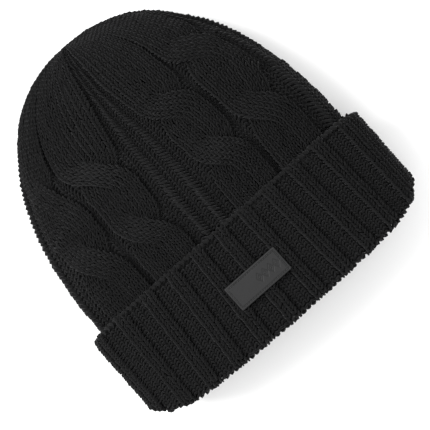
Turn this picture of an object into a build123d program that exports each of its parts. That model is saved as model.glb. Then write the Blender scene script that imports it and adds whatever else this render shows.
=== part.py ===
from build123d import *
import math
import os

# A knitted beanie lying on its back: X across it, +Y towards the crown, +Z up through the label side.
# The origin is under the middle of the hat, on the surface that it lies on. Millimetres.

# Whole hat
hat_length = 231.0          # from the bottom fold of the cuff to the gathered crown
cuff_width = 230.0          # across the lying cuff
cuff_thickness_z = 58.0     # through the lying cuff before its underside flattens
cuff_height = 76.0          # from the bottom fold to the cuff's top edge
crown_width = 212.0         # across the crown just above the cuff
crown_thickness_z = 57.0    # through the fullest part of the crown
outline_power_along = 2.1   # the crown's outline is nearly an ellipse, whose two powers would be 2
outline_power_across = 2.25
crown_fullness_at = 0.3     # part of the crown's height where it reaches its full thickness
tip_height_z = 17.0         # of the gathered tip above the surface
tip_lift_from = 0.5         # part of the crown's height where the underside starts to leave the surface
resting_flat = 1.0          # depth of the underside that rests flat

# Layers, from the outside in
cuff_layer = 6.0
slip_gap = 0.5              # between the turned-up cuff and the knit under it
knit_layer = 4.0
fleece_layer = 2.0
fold_thickness = 4.5        # the cuff's bottom fold, along Y
fold_gap = 0.4              # between the fold and the lower edge of the knit under the cuff

# Fleece headband
fleece_start = 5.0          # above the bottom fold's inner side
fleece_height = 60.0

# Label patch on the cuff
patch_width = 42.0
patch_height = 18.5
patch_thickness = 1.4
patch_corner = 1.2
patch_offset_x = -6.0
patch_above_fold = 26.0     # from the bottom fold to the patch's lower edge
patch_stitch = 1.6          # length of one stitch
patch_stitch_width = 0.5
patch_stitch_inset = 1.7
patch_stitches_long = 12
patch_stitches_short = 5

# Care label, a folded loop of woven tape
care_width = 30.0
care_length = 24.0
care_loop = 1.8             # thickness of the folded loop
care_tape = 0.5
care_hinge_above_fold = 26.0
care_lift = 0.6             # above the fleece
care_stitch_count = 7

# Small trim
stitch_length = 3.0
stitch_width = 0.9
stitch_height = 0.5
stitch_clear = 0.12         # between a stitch and the fleece that it lies on
seam_width = 5.0
seam_layer = 1.8
seam_clear = 0.25
seam_length_share = 0.87    # of the crown's height
gather_ring_radius = 4.2
gather_yarn_radius = 1.1
gather_at = 0.93            # part of the inner crown's height
yarn_end_radius = 1.1
yarn_end_length = 3.2
yarn_end_x = 14.0

# Worked out
fold_y = -hat_length / 2
cuff_top_y = fold_y + cuff_height
crown_height = hat_length / 2 - cuff_top_y
axis_z = cuff_thickness_z / 2 - resting_flat
cuff_a = cuff_width / 2
cuff_b = cuff_thickness_z / 2
knit_a = cuff_a - cuff_layer - slip_gap
knit_b = cuff_b - cuff_layer - slip_gap
inner_a = knit_a - knit_layer
inner_b = knit_b - knit_layer
fleece_a = inner_a - fleece_layer
fleece_b = inner_b - fleece_layer
knit_start_y = fold_y + fold_thickness + fold_gap
sleeve_end_y = cuff_top_y - 2.0
crown_b = crown_thickness_z / 2
CROWN_STATIONS = (0.06, 0.16, 0.3, 0.46, 0.62, 0.75, 0.85, 0.925, 0.97)


def ease(value):
    """Smooth step from 0 to 1."""
    held = min(max(value, 0.0), 1.0)
    return held * held * (3 - 2 * held)


def outline(share):
    """Half width of a rounded dome of unit width at a share of its height."""
    return (1 - max(share, 0.0) ** outline_power_along) ** (1 / outline_power_across)


def crown_section(share, inset):
    """Half width, half thickness and middle height of the crown at a share of its height."""
    settled = ease(share / crown_fullness_at)
    thickness = (knit_b + (crown_b - knit_b) * settled) * outline(share)
    lift = (tip_height_z + resting_flat) * (1 - outline((share - tip_lift_from) / (1 - tip_lift_from)))
    underside_z = (axis_z - knit_b) * (1 - settled) - resting_flat * settled + lift
    return crown_width / 2 * outline(share) - inset, thickness - inset, underside_z + thickness


def sleeve_face(y, half_width, half_thickness):
    """One elliptical section of the part of the hat that the cuff covers."""
    with BuildSketch(Plane.XZ.offset(-y)) as face:
        with Locations((0, axis_z)):
            Ellipse(half_width, half_thickness)
    return face.sketch


def crown_form(inset, tip_inset, mode=Mode.ADD):
    """The crown's closed form, inset from its outer surface, added to the current part."""
    sections = [sleeve_face(sleeve_end_y, knit_a - inset, knit_b - inset)]
    inner_height = crown_height - tip_inset
    for share in CROWN_STATIONS:
        half_width, half_thickness, middle_z = crown_section(share, inset)
        with BuildSketch(Plane.XZ.offset(-(cuff_top_y + share * inner_height))) as face:
            with Locations((0, middle_z)):
                Ellipse(half_width, half_thickness)
        sections.append(face.sketch)
    tip = Vertex(0, cuff_top_y + inner_height, tip_height_z)
    loft(sections=[*sections, tip], mode=mode)


def ring_point(half_width, half_thickness, x, upper):
    """Height on an elliptical section at x, and its slope in degrees."""
    rise = half_thickness * math.sqrt(1 - (x / half_width) ** 2)
    slope = math.degrees(math.atan2(-half_thickness ** 2 * x, half_width ** 2 * rise))
    if upper:
        return axis_z + rise, slope
    return axis_z - rise, -slope


os.makedirs("parts", exist_ok=True)

# Knitted body: the layer under the cuff and the closed crown, hollow for the head
with BuildPart() as knit_body:
    with BuildSketch(Plane.XZ.offset(-knit_start_y)):
        with Locations((0, axis_z)):
            Ellipse(knit_a, knit_b)
    extrude(amount=-(sleeve_end_y - knit_start_y))
    crown_form(0.0, 0.0)
    with BuildSketch(Plane.XZ.offset(-knit_start_y)):
        with Locations((0, axis_z)):
            Ellipse(inner_a, inner_b)
    extrude(amount=-(sleeve_end_y - knit_start_y), mode=Mode.SUBTRACT)
    crown_form(knit_layer, knit_layer * 1.5, mode=Mode.SUBTRACT)
    split(bisect_by=Plane.XY, keep=Keep.TOP)
knit_body.part.label = "knit_body"

# Turned-up cuff: an open sleeve with the bottom fold turned in under the knit
with BuildPart() as cuff:
    with BuildSketch(Plane.XZ.offset(-fold_y)):
        with Locations((0, axis_z)):
            Ellipse(cuff_a, cuff_b)
            Ellipse(inner_a, inner_b, mode=Mode.SUBTRACT)
    extrude(amount=-cuff_height)
    fillet(cuff.edges().group_by(Axis.Y)[0].sort_by(SortBy.LENGTH)[-1], radius=fold_thickness * 0.9)
    fillet(cuff.edges().group_by(Axis.Y)[-1].sort_by(SortBy.LENGTH)[-1], radius=cuff_layer * 0.4)
    with BuildSketch(Plane.XZ.offset(-(fold_y + fold_thickness))):
        with Locations((0, axis_z)):
            Ellipse(knit_a + slip_gap, knit_b + slip_gap)
    extrude(amount=-cuff_height, mode=Mode.SUBTRACT)
    split(bisect_by=Plane.XY, keep=Keep.TOP)
cuff.part.label = "cuff"

# Fleece headband inside the knit, for warmth at the ears
with BuildPart() as fleece_band:
    with BuildSketch(Plane.XZ.offset(-(knit_start_y + fleece_start))):
        with Locations((0, axis_z)):
            Ellipse(inner_a, inner_b)
            Ellipse(fleece_a, fleece_b, mode=Mode.SUBTRACT)
    extrude(amount=-fleece_height)
fleece_band.part.label = "fleece_band"

# Label patch, curved with the cuff that it is sewn to
patch_middle_y = fold_y + patch_above_fold + patch_height / 2
with BuildPart() as label_patch:
    with BuildSketch(Plane.XZ.offset(-(patch_middle_y - patch_height / 2))):
        with Locations((0, axis_z)):
            Ellipse(cuff_a + patch_thickness, cuff_b + patch_thickness)
            Ellipse(cuff_a, cuff_b, mode=Mode.SUBTRACT)
    extrude(amount=-patch_height)
    with BuildSketch(Plane.XY.offset(axis_z)):
        with Locations((patch_offset_x, patch_middle_y)):
            RectangleRounded(patch_width, patch_height, patch_corner)
    extrude(amount=cuff_thickness_z, mode=Mode.INTERSECT)
label_patch.part.label = "label_patch"


def patch_stitch_spots():
    """Places of the stitches round the patch: x, y and whether the stitch runs along Y."""
    half_w = patch_width / 2 - patch_stitch_inset
    half_h = patch_height / 2 - patch_stitch_inset
    spots = []
    for index in range(patch_stitches_long):
        x = patch_offset_x - half_w + 2 * half_w * (index + 0.5) / patch_stitches_long
        spots.append((x, patch_middle_y - half_h, False))
        spots.append((x, patch_middle_y + half_h, False))
    for index in range(patch_stitches_short):
        y = patch_middle_y - half_h + 2 * half_h * (index + 0.5) / patch_stitches_short
        spots.append((patch_offset_x - half_w, y, True))
        spots.append((patch_offset_x + half_w, y, True))
    return spots


# Stitches that hold the patch, one solid each
with BuildPart() as label_stitches:
    for x, y, along_y in patch_stitch_spots():
        surface_z, slope = ring_point(cuff_a + patch_thickness, cuff_b + patch_thickness, x, True)
        length_x = patch_stitch_width if along_y else patch_stitch
        length_y = patch_stitch if along_y else patch_stitch_width
        lift = patch_stitch_width / 2 + stitch_clear / 2
        with Locations(Location((x, y, surface_z + lift), (0, -slope, 0))):
            Box(length_x, length_y, patch_stitch_width)
label_stitches.part.label = "label_stitches"

# Care label: woven tape folded into a flat loop, free to turn about its sewn edge
care_hinge_y = fold_y + care_hinge_above_fold
care_floor_z = axis_z - fleece_b
care_middle_z = care_floor_z + care_lift + care_loop / 2
with BuildPart() as care_label:
    with BuildSketch(Plane.YZ.offset(-care_width / 2)):
        with Locations((care_hinge_y + care_length / 2, care_middle_z)):
            SlotOverall(care_length, care_loop)
            SlotOverall(care_length - 2 * care_tape, care_loop - 2 * care_tape, mode=Mode.SUBTRACT)
    extrude(amount=care_width)
care_label.part.label = "care_label"

# Stitches beside the care label's sewn edge
with BuildPart() as care_label_stitches:
    for index in range(care_stitch_count):
        x = care_width * ((index + 0.5) / care_stitch_count - 0.5)
        surface_z, slope = ring_point(fleece_a, fleece_b, x, False)
        lift = stitch_height / 2 + stitch_clear
        with Locations(Location((x, care_hinge_y - 2.0, surface_z + lift), (0, -slope, 0))):
            Box(stitch_length * 0.8, stitch_width, stitch_height)
care_label_stitches.part.label = "care_label_stitches"


def band_stitches(y):
    """Stitches along one edge of the fleece band, on both faces of the lying hat."""
    reach = fleece_a * 0.86
    count = 34
    for upper in (False, True):
        for index in range(count):
            x = reach * (2 * (index + 0.5) / count - 1)
            surface_z, slope = ring_point(fleece_a, fleece_b, x, upper)
            lift = (stitch_height / 2 + stitch_clear) * (-1 if upper else 1)
            with Locations(Location((x, y, surface_z + lift), (0, -slope, 0))):
                Box(stitch_length, stitch_width, stitch_height)


# Stitches along the band's lower and upper edges
with BuildPart() as band_stitches_lower:
    band_stitches(knit_start_y + fleece_start + 3.0)
band_stitches_lower.part.label = "band_stitches_lower"
with BuildPart() as band_stitches_upper:
    band_stitches(knit_start_y + fleece_start + fleece_height - 3.0)
band_stitches_upper.part.label = "band_stitches_upper"

# Back seam: the allowance inside the crown, from the fleece to the gathered top
seam_inset = knit_layer + seam_clear
with BuildPart() as back_seam:
    crown_form(seam_inset, seam_inset * 1.5)
    crown_form(seam_inset + seam_layer, seam_inset * 1.5 + seam_layer, mode=Mode.SUBTRACT)
    seam_length = crown_height * seam_length_share
    with BuildSketch(Plane.XY.offset(-crown_b)):
        with Locations((0, cuff_top_y + seam_length / 2)):
            Rectangle(seam_width, seam_length)
    extrude(amount=crown_b + tip_height_z, mode=Mode.INTERSECT)
back_seam.part.label = "back_seam"

# Gather yarn: the ring of yarn that draws the crown closed from inside
gather_y = cuff_top_y + gather_at * (crown_height - knit_layer * 1.5)
gather_z = crown_section(gather_at, 0.0)[2]
with BuildPart() as gather_yarn:
    with BuildSketch(Plane.XY.offset(gather_z)):
        with Locations((gather_ring_radius, gather_y)):
            Circle(gather_yarn_radius)
    revolve(axis=Axis((0, gather_y, gather_z), (0, 1, 0)), revolution_arc=360)
gather_yarn.part.label = "gather_yarn"

# Short yarn end left at the cast-on edge, lying inside the mouth of the fold
with BuildPart() as yarn_end:
    with BuildSketch(Plane.XZ.offset(-fold_y)):
        with Locations((yarn_end_x, axis_z + inner_b - yarn_end_radius - 0.4)):
            Circle(yarn_end_radius)
    extrude(amount=-yarn_end_length)
    fillet(yarn_end.edges().filter_by(GeomType.CIRCLE), radius=yarn_end_radius * 0.7)
yarn_end.part.label = "yarn_end"

for piece in (knit_body, cuff, fleece_band, label_patch, label_stitches, care_label, care_label_stitches,
              band_stitches_lower, band_stitches_upper, back_seam, gather_yarn, yarn_end):
    export_step(piece.part, f"parts/{piece.part.label}.step")
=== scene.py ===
"""A knitted beanie lying on its back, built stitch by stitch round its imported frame.

Every size is in metres, in the frame's own axes: X across the hat, +Y from the mouth to the crown and +Z up.
"""

import logging
import math
from dataclasses import dataclass, field
from enum import Enum
from typing import Any, Callable, Sequence

import bmesh
import bpy
import numpy as np
from mathutils import Matrix, Vector


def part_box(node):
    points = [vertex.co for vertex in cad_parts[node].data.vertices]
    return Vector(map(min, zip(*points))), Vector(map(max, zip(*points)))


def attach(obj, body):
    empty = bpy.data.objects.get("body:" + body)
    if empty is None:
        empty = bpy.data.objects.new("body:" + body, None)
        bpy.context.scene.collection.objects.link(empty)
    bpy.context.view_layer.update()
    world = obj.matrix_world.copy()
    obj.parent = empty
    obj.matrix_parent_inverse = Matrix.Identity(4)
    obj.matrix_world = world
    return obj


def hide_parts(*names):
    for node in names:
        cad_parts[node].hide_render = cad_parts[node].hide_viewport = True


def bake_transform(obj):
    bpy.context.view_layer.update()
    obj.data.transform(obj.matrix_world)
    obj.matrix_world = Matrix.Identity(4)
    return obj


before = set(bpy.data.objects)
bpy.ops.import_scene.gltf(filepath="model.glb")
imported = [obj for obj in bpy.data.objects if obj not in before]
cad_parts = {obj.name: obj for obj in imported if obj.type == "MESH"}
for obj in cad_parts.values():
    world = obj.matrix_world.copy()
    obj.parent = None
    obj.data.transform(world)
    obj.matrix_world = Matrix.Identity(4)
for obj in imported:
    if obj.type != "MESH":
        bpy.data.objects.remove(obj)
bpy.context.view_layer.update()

MM = 0.001
LOG = logging.getLogger("beanie")


# ---------------------------------------------------------------- small helpers

def ease(value: np.ndarray | float) -> np.ndarray:
    """Smooth step from 0 to 1 over the unit interval."""
    held = np.clip(value, 0.0, 1.0)
    return held * held * (3 - 2 * held)


def at_least(value: np.ndarray, floor: float, soft: float) -> np.ndarray:
    """Smooth maximum of a value and a floor, rounded over the length soft."""
    gap = value - floor
    return floor + 0.5 * (gap + np.sqrt(gap * gap + soft * soft))


def unit(vectors: np.ndarray) -> np.ndarray:
    """Vectors of length one, along the last axis."""
    size = np.linalg.norm(vectors, axis=-1, keepdims=True)
    return vectors / np.maximum(size, 1e-12)


def mesh_object(name: str, verts: Sequence, faces: Sequence, smooth: bool = True) -> bpy.types.Object:
    """A new mesh object in the scene, at the origin.

    Args:
        name: the piece's name.
        verts: its points, in metres.
        faces: its faces as indices into verts.
        smooth: whether its faces are shaded smooth.

    Returns:
        The object, linked to the scene.
    """
    mesh = bpy.data.meshes.new(name)
    mesh.from_pydata([tuple(v) for v in verts], [], [tuple(f) for f in faces])
    mesh.validate()
    mesh.polygons.foreach_set("use_smooth", [smooth] * len(mesh.polygons))
    mesh.update()
    obj = bpy.data.objects.new(name, mesh)
    bpy.context.scene.collection.objects.link(obj)
    return obj


# ---------------------------------------------------------------- shader graphs

class Wire:
    """A shader socket that takes part in Python arithmetic: each expression adds its Math node."""

    def __init__(self, graph: "Graph", socket: bpy.types.NodeSocket) -> None:
        """Wraps a socket of a graph."""
        self.graph = graph
        self.socket = socket

    def _math(self, operation: str, left: Any, right: Any = None) -> "Wire":
        """One Math node."""
        inputs = {0: left}
        if right is not None:
            inputs[1] = right
        return self.graph.node("ShaderNodeMath", {"operation": operation}, inputs)

    def __add__(self, other: Any) -> "Wire":
        """Sum."""
        return self._math("ADD", self, other)

    def __radd__(self, other: Any) -> "Wire":
        """Reflected sum."""
        return self._math("ADD", other, self)

    def __sub__(self, other: Any) -> "Wire":
        """Difference."""
        return self._math("SUBTRACT", self, other)

    def __rsub__(self, other: Any) -> "Wire":
        """Reflected difference."""
        return self._math("SUBTRACT", other, self)

    def __mul__(self, other: Any) -> "Wire":
        """Product."""
        return self._math("MULTIPLY", self, other)

    def __rmul__(self, other: Any) -> "Wire":
        """Reflected product."""
        return self._math("MULTIPLY", other, self)

    def __truediv__(self, other: Any) -> "Wire":
        """Quotient."""
        return self._math("DIVIDE", self, other)

    def sine(self) -> "Wire":
        """Sine, in radians."""
        return self._math("SINE", self)

    def between(self, low: float, high: float, to_low: float = 0.0, to_high: float = 1.0) -> "Wire":
        """Maps low..high to to_low..to_high, held at the ends."""
        return self.graph.node("ShaderNodeMapRange", {"clamp": True},
                               {"Value": self, "From Min": low, "From Max": high,
                                "To Min": to_low, "To Max": to_high})


class Graph:
    """The node tree of one material."""

    def __init__(self, name: str) -> None:
        """Starts an empty material with an output."""
        self.material = bpy.data.materials.new(name)
        self.material.use_nodes = True
        self.tree = self.material.node_tree
        self.tree.nodes.clear()
        self.output = self.tree.nodes.new("ShaderNodeOutputMaterial")

    def node(self, kind: str, settings: dict | None = None, inputs: dict | None = None,
             result: int | str = 0) -> Wire:
        """Adds one node.

        Args:
            kind: the node's type.
            settings: its properties, set before its inputs.
            inputs: values or wires for its sockets, by name or index.
            result: the output that the wire carries.

        Returns:
            The chosen output.
        """
        made = self.tree.nodes.new(kind)
        for key, value in (settings or {}).items():
            setattr(made, key, value)
        for key, value in (inputs or {}).items():
            socket = made.inputs[key]
            if isinstance(value, Wire):
                self.tree.links.new(value.socket, socket)
            else:
                socket.default_value = value
        return Wire(self, made.outputs[result])

    def mix(self, share: Any, first: Any, second: Any) -> Wire:
        """Mixes two colours by a share."""
        made = self.tree.nodes.new("ShaderNodeMix")
        made.data_type = "RGBA"
        for index, value in ((0, share), (6, first), (7, second)):
            if isinstance(value, Wire):
                self.tree.links.new(value.socket, made.inputs[index])
            else:
                made.inputs[index].default_value = value
        return Wire(self, made.outputs[2])

    def attribute(self, name: str, result: str = "Fac") -> Wire:
        """Reads a mesh attribute."""
        return self.node("ShaderNodeAttribute", {"attribute_name": name}, {}, result)

    def place(self) -> Wire:
        """Object coordinates."""
        return self.node("ShaderNodeTexCoord", {}, {}, "Object")

    def noise(self, where: Wire, scale: float, detail: float = 2.0, result: str = "Fac") -> Wire:
        """Noise at a scale, on a vector."""
        return self.node("ShaderNodeTexNoise", {}, {"Vector": where, "Scale": scale, "Detail": detail}, result)

    def bump(self, height: Wire, strength: float, distance: float) -> Wire:
        """Bump from a height."""
        return self.node("ShaderNodeBump", {}, {"Height": height, "Strength": strength, "Distance": distance})

    def surface(self, **inputs: Any) -> bpy.types.Material:
        """Ends the graph in a Principled surface.

        Args:
            inputs: socket values or wires, with _ for a space in the socket's name.

        Returns:
            The finished material.
        """
        named = {key.replace("_", " "): value for key, value in inputs.items()}
        shader = self.node("ShaderNodeBsdfPrincipled", {}, named, "BSDF")
        self.tree.links.new(shader.socket, self.output.inputs["Surface"])
        return self.material


def grey(value: float) -> tuple[float, float, float, float]:
    """A neutral colour, very slightly cool, as a linear RGBA value."""
    return (value * 0.985, value * 0.99, value * 1.02, 1.0)


@dataclass(frozen=True)
class YarnFinish:
    """Black acrylic yarn: twisted plies, loose fibres and small changes of shade from stitch to stitch."""

    name: str = "black_yarn"
    shade: float = 0.0031
    shade_spread: float = 0.35
    roughness: float = 0.82
    plies: float = 3.0
    twist: float = 2.2
    ply_depth: float = 0.9

    def build(self) -> bpy.types.Material:
        """Returns the material."""
        g = Graph(self.name)
        uv = g.node("ShaderNodeUVMap", {"uv_map": "yarn_uv"}, {}, "UV")
        parts = g.tree.nodes.new("ShaderNodeSeparateXYZ")
        g.tree.links.new(uv.socket, parts.inputs[0])
        around, along = Wire(g, parts.outputs[0]), Wire(g, parts.outputs[1])
        tone = g.attribute("tone")
        place = g.place()
        ply = ((around * self.plies + along * self.twist) * (2 * math.pi)).sine() * 0.5 + 0.5
        stretched = g.node("ShaderNodeMapping", {}, {"Vector": place, "Scale": (1.0, 0.45, 1.0)})
        fibre = g.noise(stretched, 2600.0, 3.0)
        fluff = g.noise(place, 520.0, 4.0)
        height = ply * 0.55 + fibre * 0.35 + fluff * 0.3
        patch = g.noise(place, 38.0, 2.0)
        # The ply term is painted shade: the colour is lighter on the ply crests of the bump and darker in the grooves
        # between the plies; tone, patch and fluff are random changes of tone.
        lightness = tone * 0.5 + patch * 0.25 + fluff * 0.35 + ply * 0.12 - 0.1
        low = self.shade * (1 - self.shade_spread)
        high = self.shade * (1 + self.shade_spread)
        colour = g.mix(lightness, grey(low), grey(high))
        rough = fibre.between(0.3, 0.7, self.roughness - 0.08, self.roughness + 0.1)
        normal = g.bump(height, self.ply_depth, 0.35 * MM)
        return g.surface(Base_Color=colour, Roughness=rough, Normal=normal, Specular_IOR_Level=0.14,
                         Sheen_Weight=0.12, Sheen_Roughness=0.45, Sheen_Tint=grey(0.55))


@dataclass(frozen=True)
class BackingFinish:
    """The dark inside of the knit that shows between the stitches and inside the crown."""

    name: str = "knit_backing"
    shade: float = 0.004

    def build(self) -> bpy.types.Material:
        """Returns the material."""
        g = Graph(self.name)
        place = g.place()
        loops = g.node("ShaderNodeTexVoronoi", {"feature": "F1"}, {"Vector": place, "Scale": 330.0}, "Distance")
        fluff = g.noise(place, 900.0, 3.0)
        # Painted shade: the colour darkens towards the edges of the cells, where the bump sinks between the loops.
        colour = g.mix(loops.between(0.1, 0.6), grey(self.shade * 1.5), grey(self.shade * 0.6))
        normal = g.bump(loops * -1.0 + fluff * 0.4, 0.8, 0.8 * MM)
        return g.surface(Base_Color=colour, Roughness=fluff.between(0.3, 0.7, 0.85, 0.98), Normal=normal,
                         Specular_IOR_Level=0.15)


@dataclass(frozen=True)
class FleeceFinish:
    """Brushed fleece: short curled pile with a soft sheen."""

    name: str = "brushed_fleece"
    shade: float = 0.012
    roughness: float = 0.93

    def build(self) -> bpy.types.Material:
        """Returns the material."""
        g = Graph(self.name)
        place = g.place()
        curls = g.node("ShaderNodeTexVoronoi", {"feature": "SMOOTH_F1"}, {"Vector": place, "Scale": 950.0}, "Distance")
        pile = g.noise(place, 2400.0, 4.0)
        brushed = g.noise(place, 60.0, 3.0)
        tone = pile * 0.45 + brushed * 0.4 + curls * 0.3
        colour = g.mix(tone.between(0.25, 0.85), grey(self.shade * 0.6), grey(self.shade * 1.7))
        rough = pile.between(0.3, 0.7, self.roughness - 0.05, self.roughness + 0.05)
        normal = g.bump(pile * 0.6 - curls * 0.8 + brushed * 0.3, 0.9, 0.5 * MM)
        return g.surface(Base_Color=colour, Roughness=rough, Normal=normal, Specular_IOR_Level=0.12,
                         Sheen_Weight=0.3, Sheen_Roughness=0.6, Sheen_Tint=grey(0.4))


@dataclass(frozen=True)
class LabelFinish:
    """The label: smooth coated cloth with a fine grain and mottled tone, its rounded edges made paler by a painted
    highlight and its pressed grooves darker by painted shade.
    """

    name: str = "coated_label"
    shade: float = 0.0105
    roughness: float = 0.6

    def build(self) -> bpy.types.Material:
        """Returns the material."""
        g = Graph(self.name)
        place = g.place()
        grain = g.node("ShaderNodeTexVoronoi", {"feature": "DISTANCE_TO_EDGE"}, {"Vector": place, "Scale": 2600.0},
                       "Distance")
        cloud = g.noise(place, 90.0, 3.0)
        fine = g.noise(place, 1500.0, 3.0)
        # Painted highlight: the mask read here makes the label's rounded edges paler; cloud and fine are random
        # mottling.
        rubbed = g.attribute("rubbed")
        tone = cloud * 0.5 + fine * 0.25 + rubbed * 0.55
        mottle_and_highlight = g.mix(tone.between(0.2, 0.9), grey(self.shade * 0.8), grey(self.shade * 1.5))
        # Painted shade: the pressed border groove and lozenges are darkened towards a deep grey.
        colour = g.mix(g.attribute("pressed") * 0.75, mottle_and_highlight, grey(self.shade * 0.45))
        rough = (fine * 0.5 + cloud * 0.5).between(0.3, 0.7, self.roughness - 0.07, self.roughness + 0.1)
        normal = g.bump(grain.between(0.0, 0.25) * 0.5 + fine * 0.35, 0.35, 0.12 * MM)
        return g.surface(Base_Color=colour, Roughness=rough, Normal=normal, Specular_IOR_Level=0.3)


@dataclass(frozen=True)
class ThreadFinish:
    """Sewing thread: two fine twisted strands with a dull shine."""

    name: str = "sewing_thread"
    shade: float = 0.014
    roughness: float = 0.6

    def build(self) -> bpy.types.Material:
        """Returns the material."""
        g = Graph(self.name)
        uv = g.node("ShaderNodeUVMap", {"uv_map": "yarn_uv"}, {}, "UV")
        parts = g.tree.nodes.new("ShaderNodeSeparateXYZ")
        g.tree.links.new(uv.socket, parts.inputs[0])
        around, along = Wire(g, parts.outputs[0]), Wire(g, parts.outputs[1])
        strand = ((around * 2.0 + along * 3.0) * (2 * math.pi)).sine() * 0.5 + 0.5
        fluff = g.noise(g.place(), 3200.0, 2.0)
        # Painted shade: the colour is lighter on the strands' crests of the bump and darker in the grooves between
        # them; tone varies at random from stitch to stitch.
        colour = g.mix(strand * 0.5 + g.attribute("tone") * 0.5, grey(self.shade * 0.6), grey(self.shade * 1.4))
        rough = fluff.between(0.3, 0.7, self.roughness - 0.06, self.roughness + 0.1)
        normal = g.bump(strand + fluff * 0.3, 0.7, 0.12 * MM)
        return g.surface(Base_Color=colour, Roughness=rough, Normal=normal, Specular_IOR_Level=0.35)


@dataclass(frozen=True)
class TapeFinish:
    """White woven satin tape, with its weave along the tape's own coordinates."""

    name: str = "woven_tape"
    shade: float = 0.62
    threads_across: float = 75.0
    threads_along: float = 110.0

    def build(self) -> bpy.types.Material:
        """Returns the material."""
        g = Graph(self.name)
        uv = g.node("ShaderNodeUVMap", {"uv_map": "tape_uv"}, {}, "UV")
        parts = g.tree.nodes.new("ShaderNodeSeparateXYZ")
        g.tree.links.new(uv.socket, parts.inputs[0])
        across, along = Wire(g, parts.outputs[0]), Wire(g, parts.outputs[1])
        warp = (across * (self.threads_across * 2 * math.pi)).sine() * 0.5 + 0.5
        weft = ((along * self.threads_along + across * (self.threads_across * 0.5)) * (2 * math.pi)).sine() * 0.5 + 0.5
        place = g.place()
        soil = g.noise(place, 140.0, 3.0)
        slub = g.noise(place, 900.0, 2.0)
        # The warp and weft terms are painted shade: the colour is lighter on the threads' crests of the bump and
        # darker in the weave's grooves; soil and slub are random mottling.
        tone = warp * 0.3 + weft * 0.3 + soil * 0.35 + slub * 0.25
        colour = g.mix(tone.between(0.3, 0.9), grey(self.shade * 0.72), grey(self.shade * 1.08))
        rough = (slub * 0.6 + weft * 0.4).between(0.2, 0.8, 0.42, 0.62)
        normal = g.bump(warp * 0.5 + weft * 0.5, 0.45, 0.1 * MM)
        return g.surface(Base_Color=colour, Roughness=rough, Normal=normal, Specular_IOR_Level=0.4)


@dataclass(frozen=True)
class Finishes:
    """Every finish of the hat, built once."""

    yarn: bpy.types.Material
    backing: bpy.types.Material
    fleece: bpy.types.Material
    label: bpy.types.Material
    thread: bpy.types.Material
    tape: bpy.types.Material

    @classmethod
    def build(cls) -> "Finishes":
        """Builds the finishes."""
        return cls(YarnFinish().build(), BackingFinish().build(), FleeceFinish().build(), LabelFinish().build(),
                   ThreadFinish().build(), TapeFinish().build())


# ---------------------------------------------------------------- the hat's soft form

@dataclass(frozen=True)
class HatForm:
    """The sections of the lying hat, worked out from the frame: ellipses that flatten where they rest."""

    fold_y: float
    cuff_top_y: float
    tip_y: float
    cuff_a: float
    cuff_b: float
    knit_a: float
    resting_flat: float = 1.0 * MM
    crown_a: float = 106.0 * MM
    crown_b: float = 28.5 * MM
    along_power: float = 2.1
    across_power: float = 2.25
    arch_power: float = 3.8
    full_at: float = 0.3
    tip_z: float = 17.0 * MM
    lift_from: float = 0.5
    bow: float = 2.6 * MM

    @classmethod
    def from_frame(cls) -> "HatForm":
        """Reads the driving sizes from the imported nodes."""
        cuff_low, cuff_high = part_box("cuff")
        knit_low, knit_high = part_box("knit_body")
        flat = cls.__dataclass_fields__["resting_flat"].default
        return cls(fold_y=cuff_low[1], cuff_top_y=cuff_high[1], tip_y=knit_high[1],
                   cuff_a=(cuff_high[0] - cuff_low[0]) / 2, cuff_b=(cuff_high[2] + flat) / 2,
                   knit_a=(knit_high[0] - knit_low[0]) / 2)

    @property
    def axis_z(self) -> float:
        """Height of the middle of the cuff."""
        return self.cuff_b - self.resting_flat

    @property
    def knit_b(self) -> float:
        """Half thickness of the knit under the cuff."""
        return self.cuff_b - (self.cuff_a - self.knit_a)

    def outline(self, share: np.ndarray) -> np.ndarray:
        """Half width of a unit dome at a share of its height."""
        held = np.clip(share, 0.0, 1.0)
        return (1 - held ** self.along_power) ** (1 / self.across_power)

    def crown(self, share: np.ndarray, inset: float) -> tuple[np.ndarray, ...]:
        """The crown's section at a share of its height above the cuff's top edge.

        Args:
            share: 0 at the cuff's top edge, 1 at the tip, and below 0 under the cuff.
            inset: distance inside the outer surface.

        Returns:
            Station along Y, half width, half thickness and height of the middle.
        """
        share = np.asarray(share, dtype=float)
        settled = ease(share / self.full_at)
        shape = self.outline(share)
        thickness = (self.knit_b + (self.crown_b - self.knit_b) * settled) * shape
        raised = self.tip_z + self.resting_flat
        lift = raised * (1 - self.outline((share - self.lift_from) / (1 - self.lift_from)))
        underside = (self.axis_z - self.knit_b) * (1 - settled) - self.resting_flat * settled + lift
        y = self.cuff_top_y + share * (self.tip_y - self.cuff_top_y)
        tight = np.clip(1.0 - inset / np.maximum(thickness, inset * 1.0001 + 1e-9), 0.0, 1.0)
        pull = inset * (1 - shape) ** 2
        return (y - pull, np.maximum(self.crown_a * shape - inset, self.crown_a * shape * tight),
                thickness * tight, underside + thickness)

    def crown_ring(self, share: float, inset: float, angle: np.ndarray) -> np.ndarray:
        """One arched ring of the crown, whose sides lie lower than its middle, so that the wales run straight up
        the front and only draw together at the top edge.

        Args:
            share: height of the ring's middle.
            inset: distance inside the outer surface.
            angle: angles round, 0 in front.

        Returns:
            The ring's points.
        """
        held = max(share, 0.0)
        edge = share - (held - held ** self.arch_power) * float(ease((held - 0.25) / 0.6))
        wide = float(self.crown(edge, inset)[1])
        y, a, b, middle = self.crown(edge + (share - edge) * np.cos(angle) ** 2, inset)
        x = wide * np.sin(angle)
        rise = np.sqrt(np.clip(1 - (x / np.maximum(a, 1e-6)) ** 2, 0, 1))
        return np.stack([x, y, middle + b * rise * np.sign(np.cos(angle))], axis=1)


Ring = Callable[[float, np.ndarray], np.ndarray]


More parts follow.
